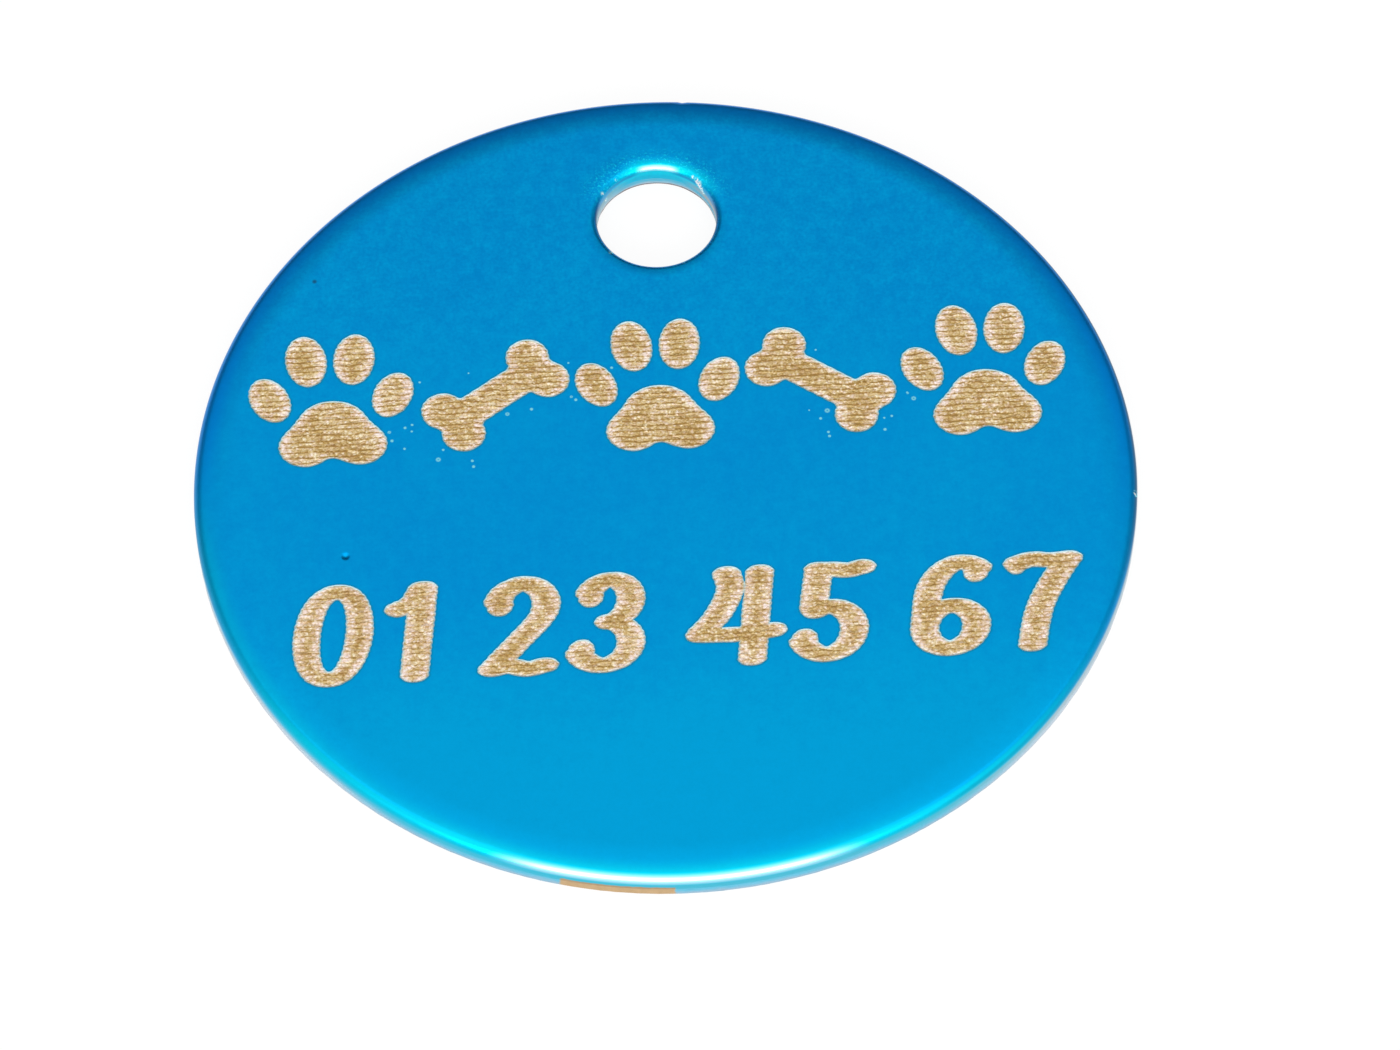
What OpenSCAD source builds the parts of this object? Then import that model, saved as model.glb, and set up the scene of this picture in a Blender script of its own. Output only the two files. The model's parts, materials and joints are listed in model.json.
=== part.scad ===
// Round pet identity tag, stamped from sheet aluminium in one stroke of a
// compound die. The cut rolls the front edge over, shears a straight land, tears
// the rest with a slight taper and leaves a sharp back corner, which tumbling
// breaks. The hang hole shows the same four stages turned inside out.
// The tag lies on its back: +Z leaves the front face and +Y runs to the hole.

/* [Disc] */
// Diameter over the sheared land
disc_d = 32; // [22:1:44]
// Thickness of the sheet
disc_t = 1; // [0.8:0.1:1.6]

/* [Rolled front edge] */
// Radius of the wide, shallow roll where the face starts to drop
roll_r = 6.5; // [4:0.5:9]
// Slope that the wide roll reaches before the shoulder takes over
roll_deg = 9; // [5:1:14]
// Radius of the tight shoulder that turns down into the wall
shoulder_r = 0.36; // [0.2:0.02:0.4]

/* [Torn back edge] */
// Height of the torn zone above the back face
tear_h = 0.34; // [0.2:0.02:0.36]
// Distance that the torn zone leans in by the time it meets the back
tear_lean = 0.01; // [0.01:0.01:0.06]
// Width and height of the broken back corner
back_break = 0.02; // [0.02:0.01:0.08]

/* [Hang hole] */
// Diameter of the punched land
hole_d = 4.15; // [3:0.05:6]
// Metal left between the hole and the rim of the disc
hole_land = 3.05; // [2:0.05:4]
// Radius of the wide roll round the mouth
hole_roll_r = 2.6; // [1.5:0.1:4]
// Slope that the mouth's wide roll reaches
hole_roll_deg = 8; // [5:1:14]
// Radius of the shoulder at the mouth
hole_shoulder_r = 0.24; // [0.12:0.02:0.3]

/* [Hidden] */
$fn = 180;
disc_r = disc_d / 2;
hole_r = hole_d / 2;
// Centre of the hole, on the line up the middle of the tag
hole_y = disc_r - hole_land - hole_r;
// Distance that a cutter runs past the faces it opens
overrun = 0.5;

// How far a roll and its shoulder reach in from the land
function roll_reach(wide, deg, tight) = tight + (wide - tight) * sin(deg);
// Height of a shoulder's centre above the back face
function shoulder_z(wide, deg, tight) = disc_t - wide * (1 - cos(deg)) - tight * cos(deg);

// Section of the edge, with the land at x = 0 and the metal at x < 0.
// body_w is the width of the metal that the section carries.
module edge_section(body_w, wide, deg, tight) {
    reach = roll_reach(wide, deg, tight);
    tight_z = shoulder_z(wide, deg, tight);
    join_x = -tight + tight * sin(deg);
    join_z = tight_z + tight * cos(deg);

    // Flat metal up to where the roll starts, and the land under the shoulder
    polygon([
        [-body_w, 0],
        [-back_break - tear_lean, 0],
        [-tear_lean, back_break],
        [0, tear_h],
        [0, tight_z],
        [-tight, tight_z],
        [join_x, join_z],
        [-reach, disc_t],
        [-body_w, disc_t]
    ]);
    // Tight shoulder
    intersection() {
        translate([-tight, tight_z]) circle(r = tight);
        polygon([
            [-tight, tight_z],
            [0, tight_z],
            [0, join_z],
            [join_x, join_z]
        ]);
    }
    // Wide roll: the cap of a large circle over its own chord
    intersection() {
        translate([-reach, disc_t - wide]) circle(r = wide);
        polygon([
            [-reach, disc_t],
            [join_x, join_z],
            [join_x, disc_t]
        ]);
    }
}

// The blank before the hole is punched
module blank() {
    rotate_extrude()
        translate([disc_r, 0])
            edge_section(disc_r, roll_r, roll_deg, shoulder_r);
}

// Everything that the punch takes away, out to past both faces
module punched_slug() {
    reach = roll_reach(hole_roll_r, hole_roll_deg, hole_shoulder_r);
    rotate_extrude()
        difference() {
            translate([0, -overrun])
                square([hole_r + reach, disc_t + 2 * overrun]);
            translate([hole_r, 0])
                mirror([1, 0])
                    edge_section(reach + overrun, hole_roll_r, hole_roll_deg, hole_shoulder_r);
        }
}

module tag_disc() {
    color("deepskyblue")
        difference() {
            blank();
            translate([0, hole_y, 0]) punched_slug();
        }
}

tag_disc();
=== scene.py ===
# %% [markdown]
# A round pet tag, stamped from aluminium sheet, dyed blue and engraved. It is one piece
# of metal, so the whole picture rests on three things: the way its edge turns over, the
# finish of the blue film, and the texture of the figures cut through it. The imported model
# gives the disc's size and place, and every later step works outward from those.

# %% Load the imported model
import json
import math

import bmesh
import bpy
import numpy as np
from mathutils import Matrix, Vector
from mathutils.geometry import delaunay_2d_cdt


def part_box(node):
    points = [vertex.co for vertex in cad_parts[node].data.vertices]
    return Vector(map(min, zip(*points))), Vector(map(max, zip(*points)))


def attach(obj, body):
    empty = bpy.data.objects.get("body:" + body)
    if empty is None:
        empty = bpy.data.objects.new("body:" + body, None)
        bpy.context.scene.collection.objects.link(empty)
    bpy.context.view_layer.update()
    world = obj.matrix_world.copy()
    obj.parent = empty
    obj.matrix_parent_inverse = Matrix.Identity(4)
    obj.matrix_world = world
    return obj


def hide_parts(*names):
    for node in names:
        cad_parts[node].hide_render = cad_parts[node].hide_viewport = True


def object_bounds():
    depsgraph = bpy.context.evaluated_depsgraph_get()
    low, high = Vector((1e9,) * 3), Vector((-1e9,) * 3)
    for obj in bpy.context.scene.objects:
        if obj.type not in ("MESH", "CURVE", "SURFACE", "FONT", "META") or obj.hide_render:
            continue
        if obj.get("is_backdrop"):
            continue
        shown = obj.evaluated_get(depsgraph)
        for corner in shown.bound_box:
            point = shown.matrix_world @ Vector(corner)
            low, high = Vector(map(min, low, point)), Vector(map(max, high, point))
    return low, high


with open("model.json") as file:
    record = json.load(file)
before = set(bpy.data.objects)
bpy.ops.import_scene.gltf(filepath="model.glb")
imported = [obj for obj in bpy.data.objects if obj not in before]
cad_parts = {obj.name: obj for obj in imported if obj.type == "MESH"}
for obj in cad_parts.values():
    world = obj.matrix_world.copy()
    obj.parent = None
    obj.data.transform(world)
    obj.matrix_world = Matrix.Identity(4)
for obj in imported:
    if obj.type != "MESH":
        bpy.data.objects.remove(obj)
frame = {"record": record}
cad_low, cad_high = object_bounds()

MM = 0.001
scene = bpy.context.scene
scene.view_settings.view_transform = "Standard"

tag_low, tag_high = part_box("tag_disc")
hang_hole = next(m for m in frame["record"]["mounts"] if m["name"] == "hang_hole")
disc_radius = (tag_high.x - tag_low.x) / 2 / MM
sheet = (tag_high.z - tag_low.z) / MM
hole_radius = hang_hole["dims"]["r_mm"]
hole_y = hang_hole["pos_m"][1] / MM
print(f"disc {2 * disc_radius:.2f} mm across, {sheet:.2f} mm thick, hole {2 * hole_radius:.2f} mm")

# %% [markdown]
# The camera stands where the photograph's did. Four numbers place it: the angle between
# the line of sight and the face, a small roll, the pixel where the disc's middle falls,
# and the distance. The near and far halves of the outline are almost equal, so the lens is
# long. The tag is also turned a little in its own plane. The model must stay put, so the
# camera goes round it by that angle the other way.

# %% Camera
photo_width_px, photo_height_px = 1400, 1050
focal_px = 8000
sensor_mm = 36.0
disc_centre_px = (665.8, 491.4)
sight_distance = 271.85
sight_tilt = math.radians(33.84)
camera_roll = math.radians(0.70)
tag_turn = math.radians(1.215)

right = Vector((1, 0, 0))
up = Vector((0, math.cos(sight_tilt), math.sin(sight_tilt)))
forward = Vector((0, math.sin(sight_tilt), -math.cos(sight_tilt)))
camera_x = math.cos(camera_roll) * right - math.sin(camera_roll) * up
camera_y = math.sin(camera_roll) * right + math.cos(camera_roll) * up
shift_x = (disc_centre_px[0] - photo_width_px / 2) / focal_px * sight_distance
shift_y = (photo_height_px / 2 - disc_centre_px[1]) / focal_px * sight_distance
position = -sight_distance * forward - shift_x * camera_x - shift_y * camera_y

axes = Matrix((camera_x, camera_y, -forward)).transposed().to_4x4()
unturn = Matrix.Rotation(-tag_turn, 4, "Z")
lens = bpy.data.cameras.new("camera")
lens.sensor_width = sensor_mm
lens.lens = focal_px * sensor_mm / photo_width_px
lens.clip_start = 10 * MM
lens.clip_end = 20
camera = bpy.data.objects.new("camera", lens)
camera.matrix_world = unturn @ Matrix.Translation(position * MM) @ axes
scene.collection.objects.link(camera)
scene.camera = camera
camera_place = [round(c / MM, 1) for c in camera.matrix_world.translation]
print(f"camera at {camera_place} mm, lens {lens.lens:.0f} mm")

# %% [markdown]
# Shader maths is easier to read as sums than as boxes and wires, so one small class wraps
# a socket and lets Python's own operators add the Math nodes. Every other node comes from
# its node method, which takes the type, the settings and the socket values.

# %% Sockets that can be added and multiplied
class Wire:
    """A shader socket, with the node tree it belongs to."""

    def __init__(self, tree, socket=None):
        self.tree, self.socket = tree, socket

    def node(self, kind, settings=None, sockets=None, output=0):
        made = self.tree.nodes.new("ShaderNode" + kind)
        for name, value in (settings or {}).items():
            if name == "stops":
                ramp = made.color_ramp.elements
                while len(ramp) < len(value):
                    ramp.new(1.0)
                for stop, (place, colour) in zip(ramp, value):
                    stop.position, stop.color = place, (*colour, 1.0)
            else:
                setattr(made, name, value)
        for name, value in (sockets or {}).items():
            if isinstance(value, Wire):
                self.tree.links.new(value.socket, made.inputs[name])
            else:
                made.inputs[name].default_value = value
        return Wire(self.tree, made.outputs[output] if made.outputs else None)

    def math(self, operation, *values):
        return self.node("Math", {"operation": operation}, dict(enumerate(values)))

    def __add__(self, other):
        return self.math("ADD", self, other)

    def __sub__(self, other):
        return self.math("SUBTRACT", self, other)

    def __rsub__(self, other):
        return self.math("SUBTRACT", other, self)

    def __mul__(self, other):
        return self.math("MULTIPLY", self, other)

    __radd__, __rmul__ = __add__, __mul__

    def __neg__(self):
        return self * -1.0

    def __abs__(self):
        return self.math("ABSOLUTE", self)

    def rise(self, low, high):
        """0 below low, 1 above high, with a smooth step between."""
        return self.node("MapRange", {"interpolation_type": "SMOOTHSTEP"},
                         {"Value": self, "From Min": low, "From Max": high})

    def fall(self, low, high):
        """1 below low, 0 above high."""
        return 1 - self.rise(low, high)

    def tint(self, dark, light):
        """The colour between two colours that this value picks."""
        dark, light = [c if isinstance(c, Wire) else (*c, 1.0) for c in (dark, light)]
        return self.node("Mix", {"data_type": "RGBA"}, {0: self, 6: dark, 7: light}, 2)

    def noise(self, scale, detail=2.0, roughness=0.5):
        """Cloudy noise on this vector."""
        return self.node("TexNoise", {}, {"Vector": self, "Scale": scale, "Detail": detail,
                                          "Roughness": roughness})

    def scaled(self, by):
        """This vector or colour with each of its three parts multiplied."""
        return self.node("VectorMath", {"operation": "MULTIPLY"}, {0: self, 1: by})

    def parts(self):
        """The x, y and z of this vector."""
        return [self.node("SeparateXYZ", {}, {0: self}, axis) for axis in range(3)]

    def distance(self, point):
        """How far this place is from a point."""
        return self.node("VectorMath", {"operation": "DISTANCE"}, {0: self, 1: point}, "Value")

    def value_of(self, attribute):
        """A value that the mesh stores at its points."""
        return self.node("Attribute", {"attribute_name": attribute}, output="Fac")

    def relief(self, depth):
        """The normals of a surface that this value raises, by up to a depth in millimetres."""
        return self.node("Bump", {}, {"Strength": 1.0, "Distance": depth * MM, "Height": self})


def new_material(name):
    """An empty material, and a wire that starts its nodes."""
    made = bpy.data.materials.new(name)
    made.use_nodes = True
    made.node_tree.nodes.clear()
    return made, Wire(made.node_tree)


def finish_material(start, sockets):
    """Put a Principled surface on the material, with wires and plain values by socket."""
    surface = start.node("BsdfPrincipled", {}, sockets)
    start.node("OutputMaterial", {}, {"Surface": surface})


def layered(colour, layers):
    """The colour with tints laid over it in turn. A layer is its share and its colour."""
    for share, over in layers:
        colour = share.tint(colour, over)
    return colour


# %% [markdown]
# Satin metal shows its surroundings blurred, so the light is planned as what each part of
# the tag looks at. Low down, the dome brightens from the far side to the front, and above
# that it is pale all round. The far rim faces the dim far side and stays dark. The flat
# face looks high on the far side. The near rim's wide roll looks nearer overhead, where a
# dimmer patch keeps it from brightening too soon. Only the tight shoulder sees the front,
# and a broad low softbox there gives the near rim and the far lip of the hole a bright
# line each. A pale band on the horizon is the table's end.

# %% The studio's dome
far_dim, front_pale, ring_pale, overhead_pale, horizon_pale = 0.08, 1.80, 1.66, 0.86, 0.60

world = bpy.data.worlds.new("studio_dome")
scene.world = world
world.use_nodes = True
world.node_tree.nodes.clear()
sky = Wire(world.node_tree)
sky_x, sky_y, sky_z = sky.node("TexCoord", output="Generated").parts()
low_light = sky_y.fall(-1.35, 1.05) * (front_pale - far_dim) + far_dim
strength = low_light + sky_z.rise(0.70, 0.86) * (ring_pale - low_light)
overhead = abs(sky_x).fall(0.60, 0.78)
overhead = overhead * sky_y.fall(0.43, 0.54) * sky_y.rise(0.12, 0.28)
strength = strength + overhead * (overhead_pale - strength)
strength = strength + sky_z.fall(0.035, 0.07) * (horizon_pale - strength)
glow = sky.node("Background", {}, {"Color": (1, 1, 1, 1), "Strength": strength})
sky.node("OutputWorld", {}, {"Surface": glow})
print(f"dome: {far_dim} to {front_pale} low down, {ring_pale} above")


# %% Softbox
azimuth, elevation = math.radians(-3), math.radians(18.5)
softbox_metres_away, softbox_width, softbox_height, radiance = 1.0, 1.30, 0.72, 2.8

level_part = math.cos(elevation)
away = Vector((math.sin(azimuth) * level_part, -math.cos(azimuth) * level_part, math.sin(elevation)))
lamp = bpy.data.lights.new("front_softbox", "AREA")
lamp.shape = "RECTANGLE"
lamp.size, lamp.size_y = softbox_width, softbox_height
lamp.energy = radiance * math.pi * softbox_width * softbox_height
softbox = bpy.data.objects.new("front_softbox", lamp)
facing = away.to_track_quat("Z", "Y").to_matrix().to_4x4()
softbox.matrix_world = Matrix.Translation(away * softbox_metres_away) @ facing
scene.collection.objects.link(softbox)
print(f"softbox: {lamp.energy:.1f} W")

# %% [markdown]
# The floor is white paper. To keep its white even, most of it glows at strength 1 for rays
# from the camera, off mirrors and through glass, so the picture and the metal both see a
# photographer's white sweep. The rest is ordinary paper and takes the tag's shadow.

# %% Floor
floor_mesh = bpy.data.meshes.new("floor")
floor_half = 3.0
floor_mesh.from_pydata(
    [(x * floor_half, y * floor_half, 0) for x, y in ((-1, -1), (1, -1), (1, 1), (-1, 1))],
    [], [(0, 1, 2, 3)])
floor = bpy.data.objects.new("floor", floor_mesh)
scene.collection.objects.link(floor)
paper, start = new_material("white_paper")
seen = [start.node("LightPath", output=f"Is {ray} Ray") for ray in ("Camera", "Glossy", "Transmission")]
paper_white, glowing_part = (0.93, 0.93, 0.93, 1), 0.88
lit_paper = start.node("BsdfPrincipled", {}, {"Base Color": paper_white, "Roughness": 0.9})
white_glow = start.node("Emission", {}, {"Color": (1, 1, 1, 1), "Strength": 1.0})
glow_share = start.math("MINIMUM", seen[0] + seen[1] + seen[2], 1.0) * glowing_part
sweep = start.node("MixShader", {}, {0: glow_share, 1: lit_paper, 2: white_glow})
start.node("OutputMaterial", {}, {"Surface": sweep})
floor_mesh.materials.append(paper)
floor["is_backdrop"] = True
print(f"floor: {2 * floor_half:.0f} m square")

# %% [markdown]
# A stamped edge has four stages. The sheet rolls over, gently and then tightly, the die
# shears a straight land, the last of it tears away with a slight lean, and a sharp corner
# is left, here broken by tumbling. The profile walks down those stages as pairs of inset
# and height. The rim uses it facing out, the hole facing in. The punch met the sheet
# slightly askew, so the near side of the hole rolls over less than the far side. It has a
# section of its own with as many rows, so that the two can be blended round the hole.

# %% The section of the stamped edge
roll_radius, roll_slope, shoulder_radius = 6.5, math.radians(9), 0.36
mouth_radius, mouth_slope, mouth_shoulder = 2.6, math.radians(8), 0.24
askew_slope = math.radians(5)
tear_height, tear_lean, back_break = 0.34, 0.01, 0.02
roll_steps, shoulder_steps, land_steps, tear_steps = 8, 14, 2, 6


def edge_section(wide, slope, tight):
    """Inset and height of the rows down the edge, and the row where the tear starts."""
    reach = tight + (wide - tight) * math.sin(slope)
    tight_z = sheet - wide * (1 - math.cos(slope)) - tight * math.cos(slope)
    rows = [(reach - wide * math.sin(a), sheet - wide * (1 - math.cos(a)))
            for a in np.linspace(0, slope, roll_steps + 1)]
    rows += [(tight * (1 - math.sin(a)), tight_z + tight * math.cos(a))
             for a in np.linspace(slope, math.pi / 2, shoulder_steps + 1)[1:]]
    rows += [(0.0, z) for z in np.linspace(tight_z, tear_height, land_steps + 1)[1:]]
    tear = len(rows) - 1
    rows += [(tear_lean * s, tear_height + (back_break - tear_height) * s)
             for s in np.linspace(0, 1, tear_steps + 1)[1:]]
    rows.append((tear_lean + back_break, 0.0))
    return np.array(rows), tear


rim_rows, rim_tear = edge_section(roll_radius, roll_slope, shoulder_radius)
mouth_rows, mouth_tear = edge_section(mouth_radius, mouth_slope, mouth_shoulder)
askew_radius = mouth_shoulder + (mouth_rows[0, 0] - mouth_shoulder) / math.sin(askew_slope)
mouth_near_rows, _ = edge_section(askew_radius, askew_slope, mouth_shoulder)
face_radius = disc_radius - rim_rows[0, 0]
mouth_face_radius = hole_radius + mouth_rows[0, 0]
print(f"flat face to {face_radius:.2f} mm, mouth of the hole from {mouth_face_radius:.2f} mm")

# %% [markdown]
# Each engraved figure starts as a formula that is negative inside the figure and positive
# outside, because such fields join, blend and grow with plain arithmetic. The counting
# digits are drawn with a pen that is wider than it is tall, for thick stems and thin tops.
# Squashing the paper by the pen's proportions turns the pen into a circle, and the
# distance to a line does the rest.

# %% A broad pen and eight counting digits
figure_height, figure_width = 4.0, 0.925
pen_half_width, pen_half_height = 0.45, 0.27
figure_slant = math.tan(math.radians(7))


def bend(cx, cy, rx, ry, first, last, steps=28):
    """Points along part of an ellipse, angles in degrees."""
    a = np.radians(np.linspace(first, last, steps))
    return np.stack([cx + rx * np.cos(a), cy + ry * np.sin(a)], -1)


def swoop(*points, steps=10):
    """A smooth curve through a few points."""
    p = np.array([points[0], *points, points[-1]], float)
    s = np.linspace(0, 1, steps, endpoint=False)[:, None]
    parts = [0.5 * (2 * b + (c - a) * s + (2 * a - 5 * b + 4 * c - d) * s**2
                    + (3 * b - a - 3 * c + d) * s**3)
             for a, b, c, d in zip(p, p[1:], p[2:], p[3:])]
    return np.concatenate([*parts, p[-1:]])


# Every stroke is in shares of the figure's height, from its lower left corner
digit_strokes = {
    "0": (0.72, [bend(0.36, 0.5, 0.232, 0.432, 0, 360, 60)]),
    "1": (0.50, [swoop((0.12, 0.73), (0.20, 0.765), (0.27, 0.83), (0.31, 0.926)),
                 swoop((0.325, 0.926), (0.325, 0.074))]),
    "2": (0.72, [np.concatenate([bend(0.35, 0.70, 0.225, 0.226, 165, -30),
                                 swoop((0.50, 0.52), (0.33, 0.32), (0.14, 0.09))]),
                 swoop((0.14, 0.09), (0.30, 0.11), (0.46, 0.075), (0.61, 0.105))]),
    "3": (0.70, [bend(0.33, 0.715, 0.20, 0.211, 155, -85),
                 bend(0.325, 0.29, 0.24, 0.216, 80, -155)]),
    "4": (0.84, [swoop((0.30, 0.926), (0.345, 0.76), (0.25, 0.52), (0.11, 0.345)),
                 swoop((0.10, 0.325), (0.40, 0.315), (0.62, 0.325), (0.76, 0.345)),
                 swoop((0.60, 0.926), (0.595, 0.074))]),
    "5": (0.70, [swoop((0.20, 0.925), (0.36, 0.915), (0.48, 0.905), (0.60, 0.93)),
                 swoop((0.205, 0.90), (0.185, 0.54)),
                 bend(0.33, 0.31, 0.24, 0.236, 122, -155)]),
    "6": (0.72, [np.concatenate([bend(0.42, 0.53, 0.29, 0.396, 58, 180),
                                 bend(0.36, 0.285, 0.235, 0.211, 180, 540, 50)])]),
    "7": (0.68, [swoop((0.12, 0.885), (0.24, 0.92), (0.42, 0.905), (0.585, 0.915)),
                 swoop((0.575, 0.90), (0.44, 0.66), (0.34, 0.40), (0.30, 0.074))]),
}
# Round terminals, where the pen is pressed at the end of a curve: place and radius
digit_dots = {"1": [(0.11, 0.735, 0.075)], "2": [(0.155, 0.725, 0.105)],
              "3": [(0.165, 0.765, 0.10), (0.12, 0.225, 0.105)], "5": [(0.125, 0.225, 0.105)],
              "6": [(0.56, 0.83, 0.10)], "7": [(0.115, 0.865, 0.08)]}
# The nought's counter is an oval of its own, where so wide a pen would leave a slit
nought_counter = (0.36, 0.5, 0.122, 0.365)


def line_distance(x, y, path):
    """Distance from every point to a line through the path's points."""
    nearest = np.full(x.shape, np.inf)
    for (ax, ay), (bx, by) in zip(path, path[1:]):
        dx, dy = bx - ax, by - ay
        along = np.clip(((x - ax) * dx + (y - ay) * dy) / max(dx * dx + dy * dy, 1e-12), 0, 1)
        nearest = np.minimum(nearest, np.hypot(x - ax - along * dx, y - ay - along * dy))
    return nearest


def digit(name):
    """The digit's width, and its field on points measured from its middle."""
    width, strokes = digit_strokes[name]
    squash = pen_half_height / pen_half_width
    middle = np.array([width / 2, 0.5])
    figure_size = np.array([figure_height * figure_width, figure_height])

    def field(x, y):
        upright = x - figure_slant * y
        inside = np.full(x.shape, np.inf)
        for path in strokes:
            points = (path - middle) * figure_size
            reach = line_distance(upright * squash, y, points * [squash, 1])
            inside = np.minimum(inside, reach - pen_half_height)
        for px, py, radius in digit_dots.get(name, []):
            cx, cy = (np.array([px, py]) - middle) * figure_size
            inside = np.minimum(inside, np.hypot(upright - cx, y - cy) - radius * figure_height)
        if name == "0":
            cx, cy = (np.array(nought_counter[:2]) - middle) * figure_size
            rx, ry = np.array(nought_counter[2:]) * figure_size
            inside = np.maximum(inside, (1 - np.hypot((upright - cx) / rx, (y - cy) / ry)) * rx)
        return inside

    return width * figure_size[0], field


# %% [markdown]
# The upper row is a frieze of paw prints and bones, the plainest ornament a pet tag can
# carry. A paw is a soft three-lobed pad under four toes. A bone is a bar with two knobs at
# each end. The smooth union rounds the hollows where lobes meet, as a round cutter would.

# %% Paw prints and bones
paw_size, bone_size = 1.04, 0.88


def soft_union(a, b, softness):
    """The smaller of two fields, rounded where they meet."""
    share = np.clip(0.5 + 0.5 * (b - a) / softness, 0, 1)
    return b + (a - b) * share - softness * share * (1 - share)


def turned(x, y, degrees):
    """Places measured along axes that are turned by some degrees."""
    c, s = math.cos(math.radians(degrees)), math.sin(math.radians(degrees))
    return np.stack([x * c + y * s, y * c - x * s])


def oval(x, y, cx, cy, rx, ry, lean):
    """A field for an ellipse that leans by some degrees."""
    u, v = turned(x - cx, y - cy, lean)
    return (np.hypot(u / rx, v / ry) - 1) * min(rx, ry)


def paw(x, y):
    """A field for a paw print."""
    x, y = x / paw_size, y / paw_size
    pad = oval(x, y, 0, -0.95, 1.15, 1.0, 0)
    for side in (-1, 1):
        pad = soft_union(pad, oval(x, y, side * 0.95, -1.72, 0.80, 0.72, side * 20), 0.55)
    toes = [oval(x, y, side * cx, cy, rx, ry, side * lean)
            for side in (-1, 1)
            for cx, cy, rx, ry, lean in ((2.02, 0.22, 0.60, 0.88, -24), (0.79, 1.70, 0.64, 0.98, -7))]
    return np.minimum.reduce([pad, *toes]) * paw_size


def bone(lean):
    """A field for a bone that leans by some degrees."""
    def field(x, y):
        u, v = turned(x, y, lean) / bone_size
        shape = np.hypot(u - np.clip(u, -1.9, 1.9), v) - 0.66
        for end in (-1, 1):
            for side in (-1, 1):
                shape = soft_union(shape, np.hypot(u - end * 2.05, v - side * 0.66) - 0.80, 0.22)
        return shape * bone_size

    return field


# %% [markdown]
# Each row has its own straight baseline, turned a degree or so against the tag, as the
# engraver left it. The fields of a row's figures are sampled together on one fine grid.
# Dividing a field by its own slope makes it a true distance near the outline, so one grid
# yields every offset line that the cutter's path needs. A little noise and a ripple give
# the outline the faint scallops that the back-and-forth passes leave.

# %% Two rows of figures as grids of distance
row_turn = math.radians(1.35)
grid_step = 0.035
hatch_pitch = 0.22
scallop, outline_wander = 0.030, 0.016
rng = np.random.default_rng(20)


def in_cell(grid, i, j, fx, fy):
    """A grid's value inside a cell, as shares of the values at its four corners."""
    bottom = grid[j, i] * (1 - fx) + grid[j, i + 1] * fx
    top = grid[j + 1, i] * (1 - fx) + grid[j + 1, i + 1] * fx
    return bottom * (1 - fy) + top * fy


def grain_field(u, v, size_u, size_v):
    """Smooth random values from 0 to 1 on points, with the given grain."""
    lattice = rng.random((400, 400))
    gu, gv = u / size_u + 150, v / size_v + 150
    iu, iv = np.floor(gu).astype(int), np.floor(gv).astype(int)
    fu, fv = gu - iu, gv - iv
    fu, fv = fu * fu * (3 - 2 * fu), fv * fv * (3 - 2 * fv)
    return in_cell(lattice, iu % 399, iv % 399, fu, fv)


def make_row(name, centre, figures, half_width, half_height):
    """Sample a row. Figures are (x, y, field) with places in the row's own frame."""
    xs = np.arange(-half_width, half_width, grid_step)
    ys = np.arange(-half_height, half_height, grid_step)
    x, y = np.meshgrid(xs, ys)
    shape = np.full(x.shape, 1.0)
    for fx, fy, field in figures:
        near = np.abs(xs - fx) < 3.8
        shape[:, near] = np.minimum(shape[:, near], field(x[:, near] - fx, y[:, near] - fy))
    slope_y, slope_x = np.gradient(shape, grid_step)
    slope = np.clip(np.hypot(slope_x, slope_y), 0.3, None)
    distance = shape / slope
    distance += outline_wander * (grain_field(x, y, 0.30, hatch_pitch) - 0.5)
    upright_share = np.clip(np.abs(slope_x) / slope, 0, 1)
    distance += scallop * (0.5 - np.abs(np.cos(math.pi * y / hatch_pitch))) * upright_share
    column = np.arange(len(xs))
    outside = np.where(shape < 0, -1, column)
    before = np.maximum.accumulate(outside, axis=1)
    after = np.minimum.accumulate(np.where(shape < 0, len(xs), column)[:, ::-1], axis=1)[:, ::-1]
    pass_end = np.minimum(column - before, after - column) * grid_step
    print(f"{name}: {len(figures)} figures, {int((shape < 0).sum()) * grid_step**2:.0f} mm2 cut")
    return {"centre": Vector(centre), "xs": xs, "ys": ys, "distance": distance, "pass_end": pass_end}


frieze_centre = (-0.15, 3.62)
frieze_spots = (-11.15, -5.55, 0.0, 5.55, 11.15)
frieze = [(x, 0.0, field) for x, field in zip(frieze_spots, (paw, bone(35), paw, bone(-35), paw))]

digit_row_centre = (0.50, -5.83)
digit_gap, pair_gap = 0.34, 1.42
digit_row, cursor = [], 0.0
for name in "01234567":
    width, field = digit(name)
    digit_row.append((cursor + width / 2, 0.0, field))
    cursor += width + (pair_gap if int(name) % 2 else digit_gap)
row_length = cursor - pair_gap
digit_row = [(x - row_length / 2, y, field) for x, y, field in digit_row]

rows = [make_row("frieze", frieze_centre, frieze, 14.4, 3.0),
        make_row("digits", digit_row_centre, digit_row, 14.0, 2.5)]
print(f"digits {row_length:.1f} mm long")

# %% [markdown]
# Marching squares turns a grid into outlines. Where a cell has corners on both sides of a
# level, the line crosses two of its sides, and joining the crossings cell by cell closes a
# loop. Even spacing keeps the triangles well shaped.

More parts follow.
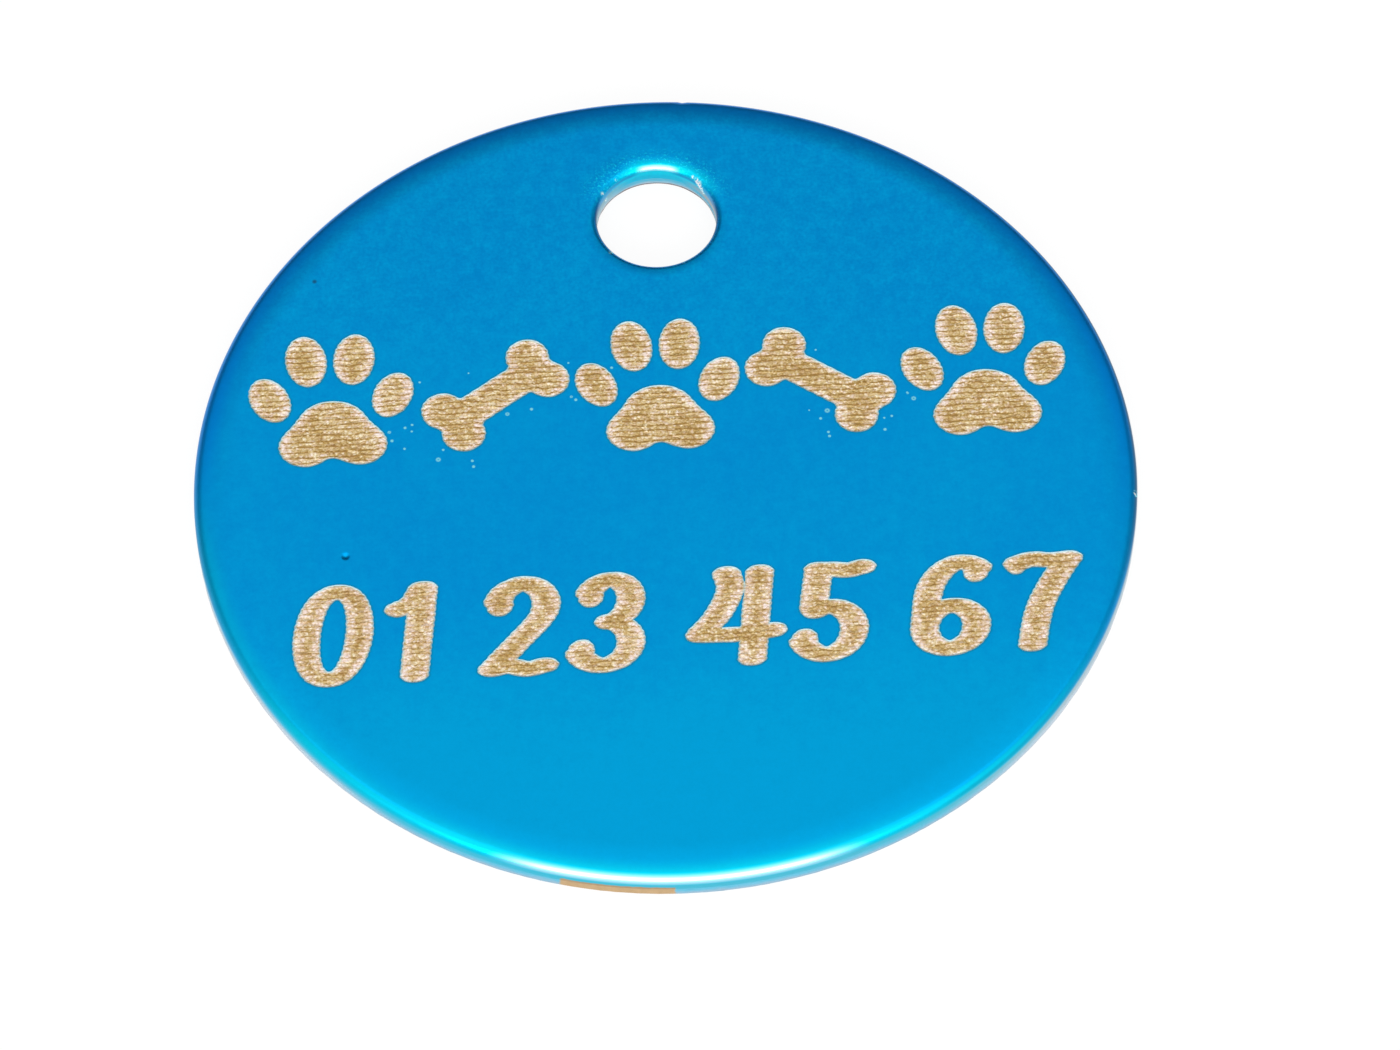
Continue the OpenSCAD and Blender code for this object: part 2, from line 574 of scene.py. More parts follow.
# %% Outlines at any distance from the figures
def trace_loops(row, level):
    """Closed loops where the row's distance crosses the level."""
    field, xs, ys = row["distance"], row["xs"], row["ys"]
    low = field < level
    count = low[:-1, :-1].astype(int) + low[:-1, 1:] + low[1:, 1:] + low[1:, :-1]
    links = {}
    for j, i in zip(*np.nonzero((count > 0) & (count < 4))):
        sides = [(0, j, i), (1, j, i + 1), (0, j + 1, i), (1, j, i)]
        signs = [low[j, i], low[j, i + 1], low[j + 1, i + 1], low[j + 1, i]]
        crossed = [side for k, side in enumerate(sides) if signs[k] != signs[(k + 1) % 4]]
        for a, b in zip(crossed[::2], crossed[1::2]):
            links.setdefault(a, []).append(b)
            links.setdefault(b, []).append(a)

    def crossing(side):
        upright, j, i = side
        a, b = field[j, i], field[j + 1, i] if upright else field[j, i + 1]
        share = (level - a) / (b - a)
        return (xs[i], ys[j] + share * grid_step) if upright else (xs[i] + share * grid_step, ys[j])

    loops = []
    while links:
        side, path = next(iter(links)), []
        while side in links:
            path.append(crossing(side))
            onward = [n for n in links.pop(side) if n in links]
            side = onward[0] if onward else None
        loops.append(np.array(path))
    return loops


def respace(loop, spacing):
    """The same closed loop with evenly spaced points."""
    closed = np.concatenate([loop, loop[:1]])
    run = np.concatenate([[0], np.cumsum(np.hypot(*np.diff(closed, axis=0).T))])
    count = max(6, round(run[-1] / spacing))
    at = np.linspace(0, run[-1], count, endpoint=False)
    return np.stack([np.interp(at, run, closed[:, k]) for k in (0, 1)], -1)


def to_tag(row, points):
    """Points of a row's frame in the tag's frame."""
    c, s = math.cos(row_turn), math.sin(row_turn)
    x, y = points[:, 0], points[:, 1]
    return np.stack([row["centre"].x + x * c - y * s, row["centre"].y + x * s + y * c], -1)


def value_at(row, grid, x, y):
    """A grid's value at points of the row's frame, between the grid's nodes."""
    gx = np.clip((x - row["xs"][0]) / grid_step, 0, len(row["xs"]) - 1.001)
    gy = np.clip((y - row["ys"][0]) / grid_step, 0, len(row["ys"]) - 1.001)
    i, j = gx.astype(int), gy.astype(int)
    return in_cell(row[grid], i, j, gx - i, gy - j)


# %% [markdown]
# The cutter hatches each figure with passes side by side and then runs once round its
# outline. So four lines go round every figure: the outer edge of a band of painted shade
# in the film, then the outer lip, the bottom and the inner lip of that last groove. Inside
# lies a floor of hatch furrows, all of it a few hundredths of a millimetre deep. Its points
# follow the furrows, six across each, and the cutter's chatter along a pass is noise on
# the crest's height. The whole face is triangulated at once, so the film, the groove and
# the floor meet at shared points.

# %% Points of the face
shade_ring_band, groove_half, groove_depth = 0.13, 0.035, 0.015
floor_depth, crest_height, pit_depth = 0.012, 0.005, 0.006
pass_wander = 0.09
loop_spacing, far_from_edge = 0.055, 0.5
across_step, along_step = hatch_pitch / 6, 0.07
FILM, OUTER_LIP, GROOVE, INNER_LIP, FLOOR = range(5)

points, traits, edges = [], [], []


def loop_edges(first, count):
    """The edges of a closed loop of points, numbered from first."""
    return [(first + k, first + (k + 1) % count) for k in range(count)]


def add_points(xy, label=FILM, z=sheet, edge_distance=far_from_edge, pass_end=0.0, passes=0.0,
               fleck=0.0, closed=False):
    """Store points of the face with their traits, and the edges of a closed loop."""
    first, count = len(points), len(xy)
    points.extend(xy.tolist())
    traits.append(np.column_stack([np.broadcast_to(value, count) for value in
                                   (label, z, edge_distance, pass_end, passes, fleck)]))
    if closed:
        edges.extend(loop_edges(first, count))
    return first


def circle_points(count, radius, cy=0.0):
    a = np.linspace(0, 2 * math.pi, count, endpoint=False)
    return np.stack([radius * np.cos(a), cy + radius * np.sin(a)], -1)


# %% Rim, mouth, grooves and floors
rim_count, mouth_count = 576, 240
rim_first = add_points(circle_points(rim_count, face_radius), closed=True)
mouth_first = add_points(circle_points(mouth_count, mouth_face_radius, hole_y), closed=True)
add_points(np.array([[0.0, hole_y]]))

for row in rows:
    for level, label, z in ((shade_ring_band, FILM, sheet), (groove_half, OUTER_LIP, sheet),
                            (0.0, GROOVE, sheet - groove_depth),
                            (-groove_half, INNER_LIP, sheet - floor_depth)):
        for loop in trace_loops(row, level):
            loop = respace(loop, loop_spacing)
            passes = loop[:, 1] / hatch_pitch
            add_points(to_tag(row, loop), label, z, level, passes=passes, closed=True)

    u, v = np.meshgrid(np.arange(row["xs"][0], row["xs"][-1], along_step),
                       np.arange(row["ys"][0], row["ys"][-1], across_step))
    u = u + along_step / 2 * (np.arange(u.shape[0]) % 2)[:, None]
    depth = value_at(row, "distance", u, v)
    keep = depth < -groove_half - 0.02
    u, v, depth = u[keep], v[keep], depth[keep]
    to_end = value_at(row, "pass_end", u, v)
    wander = pass_wander * (grain_field(u, v, 0.35, hatch_pitch) - 0.5)
    crest = 1 - np.abs(np.sin(math.pi * (v + wander) / hatch_pitch))
    chatter = grain_field(u, v, 0.12, hatch_pitch / 2)
    pits = grain_field(u, v, 0.10, 0.08)
    z = sheet - floor_depth + crest_height * crest * 2 * chatter**2 - pit_depth * pits
    floor_points = to_tag(row, np.stack([u, v], -1))
    add_points(floor_points, FLOOR, z, depth, to_end, (v + wander) / hatch_pitch)

print(f"{len(points)} points, {len(edges)} fixed edges on the face")


# %% A dent, specks and a pit
def add_spot(place, radius, rings, sides=8):
    """Rings round a place. A ring is a share of the radius, a depth and a fleck's value."""
    for share, depth, fleck in rings:
        ring = place + radius * share * circle_points(sides if share else 1, 1.0)
        add_points(ring, z=sheet - depth, fleck=fleck)


# A small dent, left of the middle
dent_depth = 0.045
dent_rings = [(share, dent_depth * max(0.0, 1 - (share / 1.4)**2)**2, 0.0)
              for share in (0, 0.3, 0.6, 0.85, 1.1, 1.4, 1.6)]
add_spot((-10.86, -2.92), 0.12, dent_rings, sides=16)

# Specks where chips and droplets marked the film beside the frieze: every fifth is a ring
for number in range(30):
    spot, clear = np.zeros((1, 2)), 0.0
    while not 0.20 < clear < 0.75:
        spot = np.array([[rng.uniform(-9.5, 9.5), rng.normal(-0.9, 1.2)]])
        clear = value_at(rows[0], "distance", spot[:, 0], spot[:, 1])[0]
    size = rng.uniform(0.035, 0.065)
    hollow = number % 5 == 0
    add_spot(to_tag(rows[0], spot), size * (1.6 if hollow else 1.0),
             ((0, 0, 0.0 if hollow else 1.0), (0.6, 0, 1.0), (1.1, 0, 0.0)))

# One dark pit, near the far left of the rim
add_spot((-11.85, 8.48), 0.09, ((0, 0, -1.0), (0.6, 0, -0.8), (1.2, 0, 0.0)))
print(f"{len(points)} points with the spots")

# %% [markdown]
# A constrained Delaunay triangulation keeps every groove line as an edge. It also fills
# the hole, and those triangles are dropped. Each triangle then takes its zone from the
# deepest kind of point that it touches.

# %% The front skin
def skin(xy, edges, hole_edge, facing):
    """Triangles between points of a flat face, all wound one way, with the hole left open."""
    where, _, faces, came_from, _, _ = delaunay_2d_cdt([Vector(p) for p in xy], edges, [], 0, 1e-6)
    where = np.array([tuple(p) for p in where])
    triangles = np.array([face for face in faces if len(face) == 3])
    a, b, c = [where[triangles[:, k]] for k in range(3)]
    wound = np.cross(b - a, c - a) * facing
    triangles[wound < 0] = triangles[wound < 0][:, ::-1]
    middle = (a + b + c) / 3
    outside = np.hypot(middle[:, 0], middle[:, 1] - hole_y) > hole_edge * math.cos(math.pi / mouth_count)
    return where, triangles[outside & (np.abs(wound) > 1e-9)], came_from


face_xy, triangles, came_from = skin(points, edges, mouth_face_radius, 1)
source = np.array([near[0] if near else -1 for near in came_from])
new_index = {old: new for new, near in enumerate(came_from) for old in near}
# The last row is plain film, for the points added where lines cross
traits.append([(FILM, sheet, far_from_edge, 0.0, 0.0, 0.0)])
kind, face_z, *face_traits = np.concatenate(traits)[source].T
is_cut = (kind[triangles] >= GROOVE).any(1)
print(f"{len(triangles)} triangles on the face, {int(is_cut.sum())} of them cut, "
      f"{int((source < 0).sum())} crossings")

# %% [markdown]
# The rolled edges are rings of points, one for each row of the section. The torn part of a
# stamped edge is never smooth, so its rings get a little seeded roughness, always into the
# metal, so that the tag keeps its size. The far rim has one nick. The back is a flat skin
# between the last two rings.

# %% Rings down the edges, and the back
torn_roughness = 0.016
nick_angle, nick_width, nick_depth = math.radians(86.1), math.radians(0.30), 0.05

vertices = [np.column_stack([face_xy, face_z])]
spread = [face_xy]
quads, quad_zone = [], []
vertex_count = len(face_xy)


def add_rings(section, near_section, tear_row, radius, cy, count, first, outward):
    """Hang rings of points from a ring of the face. Returns the last ring's numbers."""
    global vertex_count
    angles = np.linspace(0, 2 * math.pi, count, endpoint=False)
    direction = circle_points(count, 1.0)
    near_share = np.clip((1 - np.sin(angles)) / 1.2, 0, 1)
    upper = np.array([new_index[first + k] for k in range(count)])
    run = 0.0
    start_radius = radius - outward * section[0, 0]
    for k in range(1, len(section)):
        inset, z = [a + (b - a) * near_share for a, b in zip(section[k], near_section[k])]
        run += math.hypot(*(section[k] - section[k - 1]))
        ragged = np.zeros(count)
        if tear_row < k < len(section) - 1:
            ragged = torn_roughness * grain_field(angles * radius, z, 0.25, 0.12)
        if outward > 0:
            away = (angles - nick_angle) / nick_width
            ragged = ragged + nick_depth * np.exp(-away**2) * (k > roll_steps + 1)
        ring_radius = radius - outward * (inset + ragged)
        xy = direction * ring_radius[:, None] + [0, cy]
        vertices.append(np.column_stack([xy, z]))
        spread.append(direction * (start_radius + outward * run) + [0, cy])
        lower = vertex_count + np.arange(count)
        vertex_count += count
        quad = np.stack([upper, lower, np.roll(lower, -1), np.roll(upper, -1)], -1)
        quads.append(quad if outward > 0 else quad[:, ::-1])
        quad_zone.append(np.full(count, int(k > tear_row)))
        upper = lower
    return upper


rim_last = add_rings(rim_rows, rim_rows, rim_tear, disc_radius, 0.0, rim_count, rim_first, 1)
mouth_last = add_rings(mouth_rows, mouth_near_rows, mouth_tear, hole_radius, hole_y, mouth_count,
                       mouth_first, -1)
all_xyz = np.concatenate(vertices)

back_ring = np.concatenate([rim_last, mouth_last])
back_edges = loop_edges(0, rim_count) + loop_edges(rim_count, mouth_count)
_, back_tri, came_from = skin(all_xyz[back_ring, :2], back_edges, hole_radius + mouth_rows[-1, 0], -1)
back_tri = back_ring[np.array([near[0] for near in came_from])[back_tri]]
print(f"{sum(len(q) for q in quads)} quads down the edges, {len(back_tri)} triangles on the back")

# %% [markdown]
# All of it becomes one mesh with three material slots: the blue film, the torn metal low
# on the edges, and the cut metal of the figures. Each point carries what a material can't
# work out for itself: its distance from the nearest outline and from the end of its pass,
# the number of its pass, and whether it is a fleck. The flat layout for baking is the
# front and both edges rolled out as one large disc, with the back as a small one beside it.

# %% One closed mesh
FILM_SLOT, TORN_SLOT, CUT_SLOT = range(3)
faces = [*triangles.tolist(), *np.concatenate(quads).tolist(), *back_tri.tolist()]
slots = np.concatenate([np.where(is_cut, CUT_SLOT, FILM_SLOT),
                        np.where(np.concatenate(quad_zone) > 0, TORN_SLOT, FILM_SLOT),
                        np.full(len(back_tri), FILM_SLOT)])
mesh = bpy.data.meshes.new("stamped_tag")
mesh.from_pydata((all_xyz * MM).tolist(), [], faces)
mesh.polygons.foreach_set("material_index", slots.astype(np.int32))
mesh.polygons.foreach_set("use_smooth", np.ones(len(faces), bool))
off_face_values = {"outline_mm": far_from_edge, "pass_end_mm": 0.0, "passes": 0.0, "fleck": 0.0}
for (name, off_face), on_face in zip(off_face_values.items(), face_traits):
    values = np.full(len(all_xyz), off_face, np.float32)
    values[:len(face_xy)] = on_face
    mesh.attributes.new(name, "FLOAT", "POINT").data.foreach_set("value", values)

front_disc_share, back_disc_share, uv_margin = 0.38, 0.20, 0.005
spread_radius = disc_radius + 1.2
loop_vertex = np.empty(len(mesh.loops), np.int32)
mesh.loops.foreach_get("vertex_index", loop_vertex)
uv = (np.concatenate(spread)[loop_vertex] / spread_radius * front_disc_share
      + front_disc_share + uv_margin)
back_loops = np.arange(len(mesh.loops)) >= len(mesh.loops) - 3 * len(back_tri)
uv[back_loops] = (all_xyz[loop_vertex[back_loops], :2] / disc_radius * back_disc_share
                  + 1 - back_disc_share - uv_margin)
layout = mesh.uv_layers.new(name="OFBake")
layout.uv.foreach_set("vector", uv.astype(np.float32).ravel())
crease_angle = math.radians(32)
mesh.set_sharp_from_angle(angle=crease_angle)
mesh.validate()
mesh.update()

# The film stays crisp where a figure is cut through it
shape = bmesh.new()
shape.from_mesh(mesh)
for edge in shape.edges:
    if {face.material_index for face in edge.link_faces} == {FILM_SLOT, CUT_SLOT}:
        edge.smooth = False
shape.to_mesh(mesh)
shape.free()

tag = bpy.data.objects.new("stamped_tag", mesh)
scene.collection.objects.link(tag)
print(f"tag: {len(mesh.vertices)} points, {sum(len(p.vertices) - 2 for p in mesh.polygons)} triangles")

# %% [markdown]
# The film is a clear layer grown from the metal and dyed blue. It has the metal's mirror
# under a tint, so the surface is metallic with a saturated colour, and the etch before the
# dye makes it satin. Close up the blue is cloudy and mottled and faintly streaked along the
# sheet's rolling direction. Light and shade are painted into the colour as well: the face
# is painted lighter towards the near edge, a band of painted shade rings every figure, the
# near rolls get a painted cyan highlight and the far rolls painted shade, and painted shade
# darkens the far rim, the near side of the hole and thin lines above the land. The sheared
# land took less dye, and least at the two sides. Its far right end is painted near white as
# a highlight. The far lip of the hole has a grainy bump, with a painted halo and painted
# glints over it. The near shoulder and the far lip carry a painted white highlight, and
# those two places alone get a gloss coat and a little less roughness. Chips are spots round
# places given in millimetres. The material works out a share for each of these, 0 to 1
# over the surface, and then lays colour after colour over the face's blue.

# %% Colours of the blue film
film_deep, film_light = (0.001, 0.285, 0.705), (0.001, 0.375, 0.735)
film_roll_highlight, film_rim_highlight = (0.002, 0.520, 0.725), (0.29, 0.70, 0.85)
film_shaded, film_painted_shade, film_shade_ring = (0.001, 0.29, 0.84), (0.004, 0.12, 0.26), (0.004, 0.26, 0.47)
film_lip_glow_highlight, film_halo_highlight, film_painted_glints = (0.002, 0.57, 0.76), (0.002, 0.48, 0.98), (0.012, 0.80, 0.95)
film_lip_white_highlight, film_in_hole = (0.28, 0.72, 0.85), (0.002, 0.48, 0.70)
land_near_left, land_near_right = (0.030, 0.50, 0.68), (0.060, 0.50, 0.66)
land_left, land_right, land_far_right_highlight = (0.28, 0.54, 0.69), (0.38, 0.53, 0.60), (0.93, 0.95, 0.97)
hole_left, hole_right, hole_line_shade = (0.22, 0.44, 0.52), (0.30, 0.38, 0.43), (0.001, 0.32, 0.60)
film_chip, bare_chip, film_pit = (0.24, 0.74, 0.84), (0.86, 0.84, 0.88), (0.01, 0.10, 0.22)
satin, polish_gain, film_grain = 0.37, 0.05, 0.0014


# %% Places, the clip's mark and chips
def in_mm(start):
    """The point's place in millimetres, and its x, y and z."""
    place = start.node("NewGeometry", output="Position").scaled((1 / MM, 1 / MM, 1 / MM))
    return place, *place.parts()


def clip_mark(start):
    """1 where the dye bath's clip held the edge and left it bare."""
    place, x, y, z = in_mm(start)
    wander = place.scaled((3.0, 3.0, 8.0)).noise(1.0, 3.0)
    along = x + wander * 0.14
    span = along.rise(-3.90, -3.80) * along.fall(-0.12, -0.04)
    return span * (z + wander * 0.10).fall(0.46, 0.52) * (-y).rise(10.0, 11.0)


def bare_tan(place):
    """The bare metal under the clip, stained tan by the bath."""
    return place.noise(5.0, 3.0).tint((0.37, 0.25, 0.12), (0.52, 0.35, 0.19))


# Chips in the film: angle in degrees, distance from the middle, height and reach
rim_chips = [(-4.3, 15.93, 0.78, 0.16)]
mouth_chips = [(150, 2.16, 0.86, 0.12), (146.5, 2.08, 0.42, 0.12), (129.5, 2.16, 0.87, 0.08),
               (52, 2.14, 0.88, 0.09), (47.5, 2.12, 0.86, 0.13), (44, 2.11, 0.80, 0.18),
               (41, 2.09, 0.70, 0.20), (37.5, 2.08, 0.54, 0.15), (-137, 2.22, 0.90, 0.13),
               (-66, 2.22, 0.91, 0.10)]


def chips(place, cy, marks):
    """Above 0 round each mark, and above 1 in its middle."""
    total = 0
    for angle, radius, height, reach in marks:
        a = math.radians(angle)
        away = place.distance((radius * math.cos(a), cy + radius * math.sin(a), height))
        total = away.fall(0.0, reach) * 3.0 + total
    return total


# %% Blue film
def blue_film():
    made, start = new_material("blue_anodised_film")
    place, x, y, z = in_mm(start)
    far, nearward, aside, leftward = y.rise(2.0, 9.0), -y, abs(x), -x

    # The face: clouds, streaks and two grains of mottling, stronger on the far side
    clouds = place.noise(0.16, 2.0)
    streaks = place.scaled((2.6, 0.4, 1.0)).noise(1.0, 3.0)
    grain = place.noise(8.0, 3.0, 0.6)
    mottle = place.noise(2.4, 3.0, 0.65)
    specks = (grain - 0.5) * (far * 0.55 + 0.35) + (mottle - 0.5) * (far * 0.40 + 0.40)
    # The nearward term is painted light: it makes the face lighter towards the near edge.
    shade = clouds * 0.30 + streaks * 0.14 + specks * 0.70 + nearward.rise(4.0, 13.0) * 0.41
    # Painted shade: a darker band of the film round every figure.
    shade_ring = start.value_of("outline_mm").fall(groove_half + 0.02, shade_ring_band)

    # The rolls: a painted cyan highlight on the near side and a little on the left, painted shade on the
    # far side
    above_hole = y - hole_y
    from_hole = place.scaled((1, 1, 0)).distance((0, hole_y, 0))
    by_hole = from_hole.fall(2.65, 2.85)
    edge_side = z.fall(0.91, 0.985)
    roll_highlight = nearward.rise(12.5, 15.8) * edge_side + nearward.rise(6.0, 13.0) * z.fall(0.85, 0.90)
    roll_highlight = roll_highlight + leftward.rise(4.0, 8.0) * y.fall(-3.0, 4.0) * edge_side * 0.45
    shaded = y.rise(-4.0, 4.0) * z.fall(0.93, 1.0) * (1 - by_hole)

    # The far lip of the hole: painted highlight as a wide halo, and a brighter glow close to the lip
    lip_speckle = place.noise(12.0, 2.0, 0.7)
    lip_halo = from_hole.fall(2.8, 3.5) * aside.fall(0.5, 1.5) * above_hole.rise(0.5, 1.9)
    lip_glow = (from_hole + lip_speckle * 0.9 + leftward.rise(0.5, 1.6) * 0.25).fall(2.60, 3.04)
    lip_glow = lip_glow * above_hole.rise(0.5, 1.9)

    # Painted shade low on the far rim and round the near side of the hole
    rim_shade = y.rise(-7.0, -1.0) * z.fall(0.79, 0.87) * (1 - by_hole)
    rim_shade = rim_shade * (1 - leftward.rise(6.0, 10.0) * 0.65)
    mouth_shade = above_hole.fall(0.2, 1.3) * z.fall(0.88, 0.95) * by_hole

    # The sheared land, bluest in the middle of the near side, and the wall of the hole
    near_land = x.rise(-9.0, 3.0).tint(land_near_left, land_near_right)
    side_land = x.rise(-6.0, 6.0).tint(land_left, land_right)
    wall = aside.rise(0.8, 1.9).tint(film_in_hole, x.rise(-1.0, 1.0).tint(hole_left, hole_right))
    # The far right end of the land is painted near white: a painted highlight.
    land_colour = layered(near_land, [(aside.rise(8.5, 13.5), side_land),
                                      (x.rise(15.45, 15.95), land_far_right_highlight), (by_hole, wall)])
    land_top = z - aside.rise(11.5, 15.5) * 0.06 - (x.rise(-12.0, 12.0) - 0.5) * 0.04
    land_top = land_top + x.fall(-12.0, -4.0) * (x.rise(-15.6, -14.4) * 0.035 + 0.045)

    # Painted shade as dark lines above the land: at the near rim's sides, and round the wall of the hole
    seam_shade = z.rise(0.61, 0.70) * z.fall(0.74, 0.83) * (aside + x * 0.2).rise(9.5, 12.0)
    seam_shade = seam_shade * x.fall(14.4, 15.2) * y.fall(-4.0, -1.0)
    line = z.rise(0.62, 0.70) * z.fall(0.76, 0.84) * aside.rise(0.45, 0.90)
    line = line * by_hole * above_hole.rise(0.5, 1.2)

    # Painted white highlights on the near shoulder and the far lip, and painted glints on the lip round
    # them
    rim_highlight = nearward.rise(14.6, 15.5) * z.rise(0.54, 0.69) * z.fall(0.83, 0.915)
    lip_highlight = abs(x - 0.1).fall(0.42, 0.80) * above_hole.rise(1.5, 1.9)
    lip_highlight = lip_highlight * by_hole * z.rise(0.76, 0.82) * z.fall(0.93, 0.965)
    highlight_zones = rim_highlight + lip_highlight
    speckled = from_hole.fall(2.3, 3.2) * above_hole.rise(0.2, 1.6) * z.rise(0.76, 0.84)
    # Painted glints: bright cyan specks on the lip round the highlight.
    painted_glints = lip_speckle.rise(0.52, 0.66) * speckled * (1 - lip_highlight) * 0.75

    # Chips, and the flecks and the pit that the mesh carries
    fleck = start.value_of("fleck")
    grit = place.noise(14.0, 2.0, 0.6).rise(0.40, 0.54)
    chip = fleck + (chips(place, hole_y, mouth_chips) + chips(place, 0.0, rim_chips)) * grit

    colour = layered(shade.rise(-0.01, 0.59).tint(film_deep, film_light), [
        (shade_ring * 0.8, film_shade_ring), (roll_highlight, film_roll_highlight), (shaded, film_shaded),
        (lip_halo * 0.22, film_halo_highlight), (lip_glow, film_lip_glow_highlight), (rim_shade + mouth_shade, film_painted_shade),
        (land_top.fall(0.48, 0.66), land_colour), (seam_shade * 0.24, film_painted_shade), (line, hole_line_shade)])
    colour = layered(colour.scaled(specks * 0.22 + 1.0), [
        (painted_glints, film_painted_glints), (rim_highlight, film_rim_highlight), (lip_highlight, film_lip_white_highlight),
        (chip, film_chip), (chip - 1.0, bare_chip), (-fleck, film_pit),
        (clip_mark(start), bare_tan(place))])
    finish_material(start, {"Base Color": colour, "Roughness": satin - highlight_zones * polish_gain,
                            "Normal": (grain + lip_speckle * speckled * 6.0).relief(film_grain),
                            "Metallic": 1.0, "Coat Weight": highlight_zones, "Coat Roughness": 0.20,
                            "Coat IOR": 1.77})
    return made


# %% [markdown]
# Below the land the metal tore, and the film over it is thin and broken. It shows as pale
# lavender metal with some blue left in it, palest at the sides and on the left of the
# hole. At the foot of the hole's wall a dark brown band is painted shadow, where the wall
# meets the floor. Where the tag hung on the dye bath's clip it took no film at all, and a
# strip of bare tan metal is left low on the near edge.

# %% Torn metal
torn_pale, torn_blue = (0.26, 0.39, 0.49), (0.08, 0.41, 0.57)
beside_pale, beside_blue = (0.50, 0.55, 0.61), (0.44, 0.55, 0.63)
hole_pale, hole_foot_shadow = (0.42, 0.48, 0.53), (0.15, 0.10, 0.09)
hole_side_pale, hole_side_blue = (0.66, 0.64, 0.66), (0.34, 0.52, 0.60)


def torn_edge():
    made, start = new_material("torn_edge_metal")
    place, x, y, z = in_mm(start)
    patchy = place.scaled((2.0, 2.0, 6.0)).noise(1.0, 3.0)
    in_hole = place.distance((0, hole_y, 0)).fall(3.0, 3.5)
    beside = abs(x).rise(8.5, 13.5)
    hole_side = in_hole * x.fall(-1.9, -1.0)
    pale = layered(in_hole.tint(torn_pale, hole_pale),
                   [(beside, beside_pale), (hole_side, hole_side_pale)])
    blue = hole_side.tint(beside.tint(torn_blue, beside_blue), hole_side_blue)
    # Painted shadow: a dark brown band at the foot of the hole's wall, where it meets the floor.
    foot_shadow = (z + patchy * 0.05).fall(0.06, 0.12) * in_hole
    colour = layered(pale, [((z + patchy * 0.25 + in_hole * 0.04).rise(0.14, 0.42), blue),
                            (foot_shadow, hole_foot_shadow), (clip_mark(start), bare_tan(place))])
    torn_grain = place.scaled((9.0, 9.0, 3.0)).noise(1.0, 3.0)
    finish_material(start, {"Base Color": colour, "Normal": torn_grain.relief(0.004),
                            "Metallic": 0.6, "Roughness": 0.48})
    return made


# %% [markdown]
# The cut metal is bare and bright, warm beside the blue. The hatch furrows are in the
# mesh, and what is finer is in the material. The cutter hops, so every pass is a chain of
# tiny scoops in two rows, and a cell texture gives each scoop its rounded top and its own
# tone, with a painted glint in its middle and painted shade round its rim. Along the ridge
# between two passes runs a soft dark line of painted shade, broken by noise and fainter in
# the lower row. Passes slow down where they turn back, and their ends come out pale and
# pinkish, while the middle of a wide figure stays golden. The groove round the outline
# still has a little of the film's blue in it.

# %% Cut metal
scoop_long, scoop_depth = 0.12, 0.016
golden, pinkish = (1.0, 0.98, 0.79), (1.0, 0.93, 0.99)
wall_tint, lip_line = (0.76, 0.90, 0.86), (0.34, 0.56, 0.64)
cut_tones = [(0.0, (0.37, 0.215, 0.065)), (0.25, (0.54, 0.375, 0.165)), (0.50, (0.69, 0.530, 0.335)),
             (0.74, (0.85, 0.725, 0.590)), (1.0, (0.97, 0.90, 0.82))]


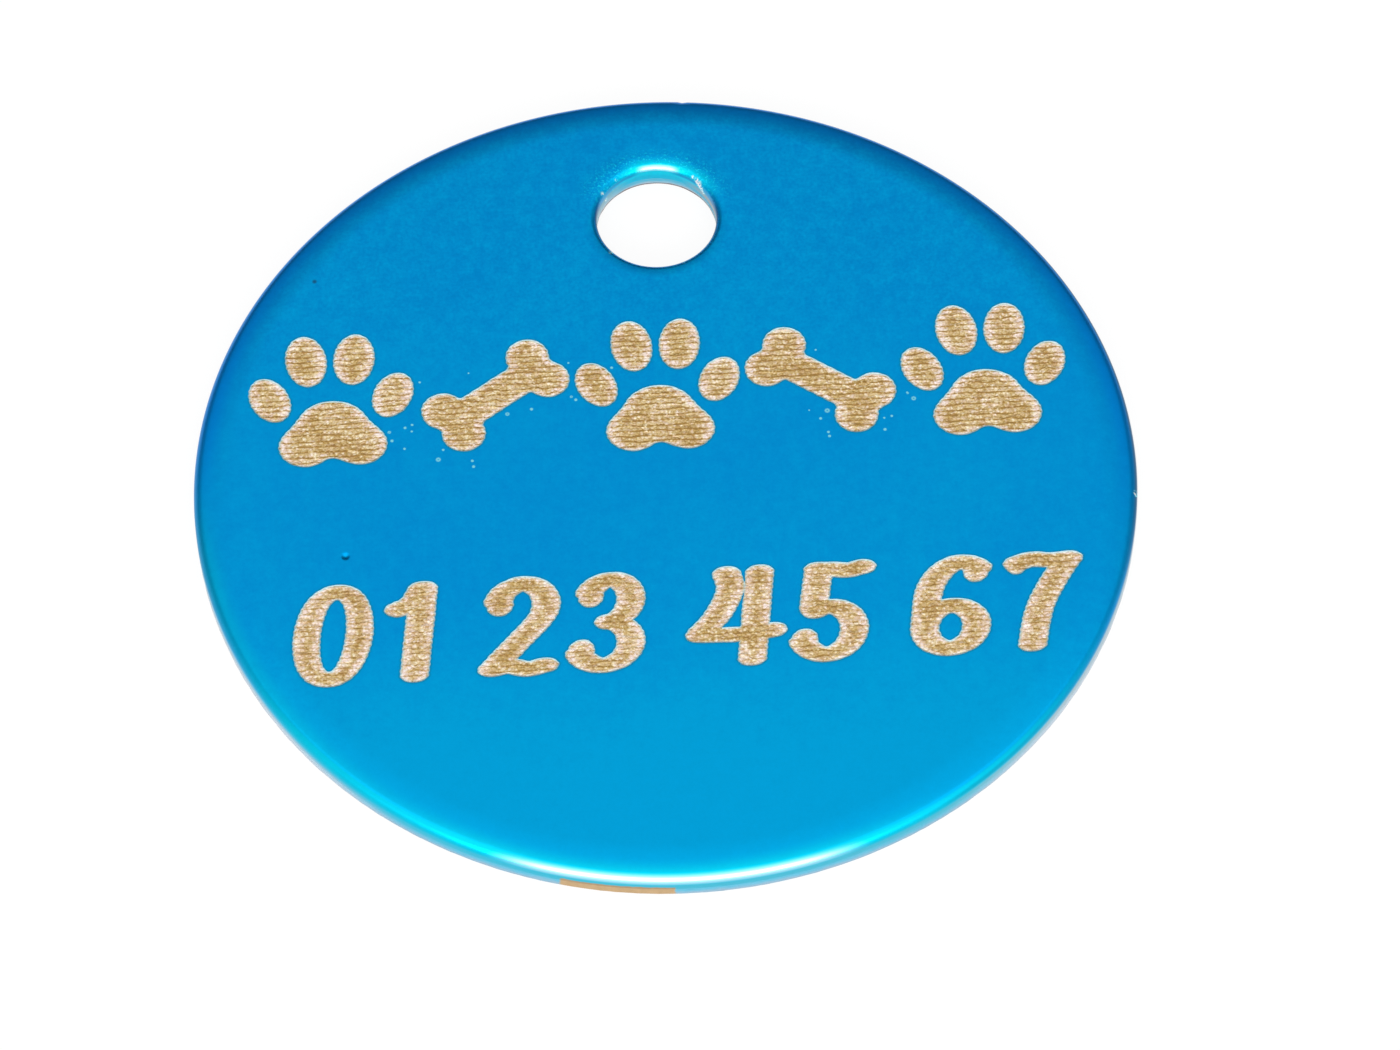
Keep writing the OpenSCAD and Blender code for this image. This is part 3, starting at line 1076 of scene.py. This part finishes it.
def cut_metal():
    made, start = new_material("engraved_metal")
    place, x, y, z = in_mm(start)
    lip = start.value_of("outline_mm")
    crest = (z - (sheet - floor_depth)).rise(-pit_depth, pit_depth)
    ends = start.value_of("pass_end_mm").fall(0.05, 0.50)
    quiet = y.fall(-3.0, 0.0)

    # Scoops in chains along the passes
    passes = start.value_of("passes")
    along = start.node("VectorRotate", {"rotation_type": "Z_AXIS"},
                       {"Vector": place, "Angle": -row_turn})
    along = start.node("SeparateXYZ", {}, {0: along}) * (1 / scoop_long) + place.noise(5.0, 2.0)
    chain = start.node("CombineXYZ", {}, {"X": along, "Y": passes * 2.0})
    scoop, scoop_tone = [start.node("TexVoronoi", {"voronoi_dimensions": "2D"},
                                    {"Vector": chain, "Scale": 1.0}, result)
                         for result in ("Distance", "Color")]
    scoop_tone = start.node("SeparateColor", {}, {0: scoop_tone})
    # A painted glint in the middle of each scoop
    painted_scoop_glint = scoop_tone.rise(0.55, 1.0) * scoop.fall(0.10, 0.45)

    # Painted shade along the ridges between the passes
    ridge_shade = abs(start.math("SINE", passes * math.pi)).fall(0.0, 0.80)
    broken = place.scaled((7.5, 4.8, 1.0)).noise(1.0, 1.0).rise(0.33, 0.62) * 0.46 + 0.25
    ridge_shade = ridge_shade * broken * (1 - quiet * 0.42)

    # All of it as one tone, then as a colour
    flecks = place.scaled((15.0, 20.0, 1.0)).noise(1.0, 3.0, 0.6)
    patches = place.noise(1.3, 1.0)
    tone = (flecks - 0.5) * (1 - ends * 0.3 - quiet * 0.12) * 1.40 + (scoop_tone - 0.5) * 0.35
    tone = tone + patches * 0.60 + ends * 0.35 + painted_scoop_glint * 0.30 + 0.175
    # Painted shade round the rim of each scoop, and the painted shade of the ridges
    tone = tone - scoop.rise(0.35, 0.75) * 0.20 - ridge_shade - quiet * 0.05
    colour = start.node("ValToRGB", {"stops": cut_tones}, {"Fac": tone})
    warm = (place.noise(6.5, 2.0, 0.6) + ends * 0.24).rise(0.38, 0.80)
    colour = colour.scaled(warm.tint(golden, pinkish))
    inner_wall = (lip + groove_half).rise(-0.03, 0.02)
    colour = colour.scaled(inner_wall.tint((1.0, 1.0, 1.0), wall_tint))
    line = (lip + groove_half * 0.3).rise(0.0, 0.02) * 0.80
    colour = line.tint(colour, lip_line)

    finish_material(start, {"Base Color": colour, "Roughness": 0.44 - crest * 0.08,
                            "Normal": ((1 - scoop) * 0.6 + flecks * 0.4).relief(scoop_depth),
                            "Metallic": 0.6})
    return made


for material in (blue_film(), torn_edge(), cut_metal()):
    mesh.materials.append(material)
    print(f"{material.name}: {len(material.node_tree.nodes)} nodes")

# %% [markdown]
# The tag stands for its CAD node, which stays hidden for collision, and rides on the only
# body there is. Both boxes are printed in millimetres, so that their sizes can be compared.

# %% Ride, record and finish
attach(tag, "root")
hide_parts("tag_disc")
look_low, look_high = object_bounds()
boxes = {"cad": [list(cad_low), list(cad_high)], "visual": [list(look_low), list(look_high)]}
for owner, box in boxes.items():
    print(owner, "box in mm:", [[round(c / MM, 3) for c in corner] for corner in box])
